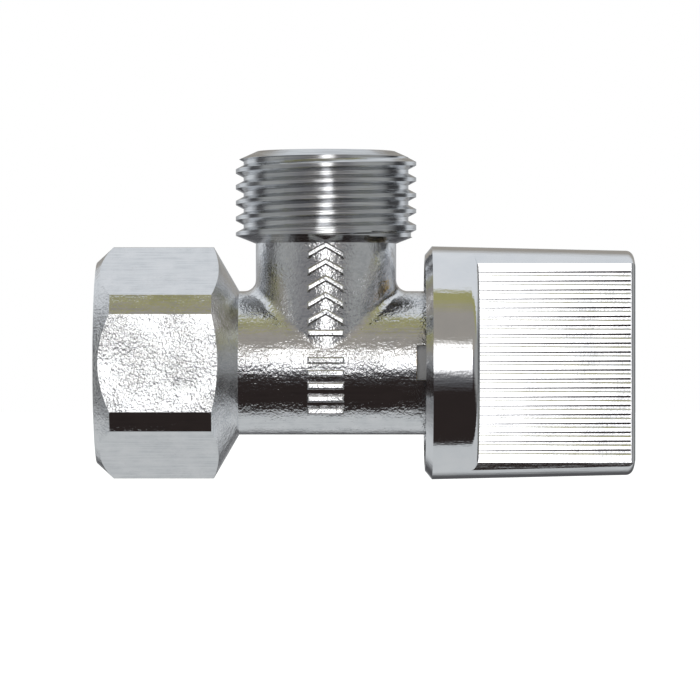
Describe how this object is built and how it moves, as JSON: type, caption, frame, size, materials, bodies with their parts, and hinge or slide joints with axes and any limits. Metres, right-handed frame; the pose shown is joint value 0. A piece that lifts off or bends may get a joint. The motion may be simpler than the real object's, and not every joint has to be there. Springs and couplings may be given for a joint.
{
  "type": "angle stop valve",
  "caption": "Chromed angle stop valve with a hex-ended threaded inlet, a male threaded side outlet and a ribbed quarter-turn lever handle.",
  "frame": {"origin": "centre of the inlet mouth, on the inlet and spindle axis", "axes": "+X along the inlet and spindle axis to the handle, +Z along the outlet axis out of the outlet, -Y towards the face that carries the flow marks"},
  "size_m": [0.0616, 0.0268, 0.0377],
  "materials": {
    "chromed_brass_body": "cast brass, satin-tumbled and bright chromed, with a fine orange peel",
    "headwork_brass": "turned brass",
    "black_rubber": "EPDM rubber",
    "grey_nylon": "moulded grey nylon",
    "ceramic": "lapped alumina ceramic",
    "white_silicone": "translucent silicone",
    "stainless_steel": "stainless steel",
    "white_acetal": "natural acetal",
    "spindle_brass": "turned brass",
    "chromed_zinc_handle": "die-cast zinc, polished and chromed",
    "chromed_plastic_cap": "chromed ABS",
    "blue_index": "glossy blue inlay"
  },
  "bodies": {
    "body": {"valve_body": "chromed_brass_body", "headwork_housing": "headwork_brass", "housing_o_ring": "black_rubber", "travel_stop_ring": "grey_nylon", "fixed_disc": "ceramic", "seat_seal": "white_silicone", "seal_support_ring": "stainless_steel", "friction_washer": "white_acetal", "spindle_thrust_washer": "white_acetal"},
    "handle": {"spindle": "spindle_brass", "spindle_o_ring_inner": "black_rubber", "spindle_o_ring_outer": "black_rubber", "spindle_clip": "stainless_steel", "rotating_disc": "ceramic", "handle": "chromed_zinc_handle", "handle_spline_insert": "white_acetal", "handle_screw": "stainless_steel", "screw_spring_washer": "stainless_steel", "index_cap": "chromed_plastic_cap", "index_dot": "blue_index"}
  },
  "joints": [
    {"name": "handle_turn", "type": "hinge", "parent": "body", "child": "handle", "pos_m": [0.03958, 0, 0], "axis": [-1, 0, 0], "range_deg": [0, 90]}
  ]
}
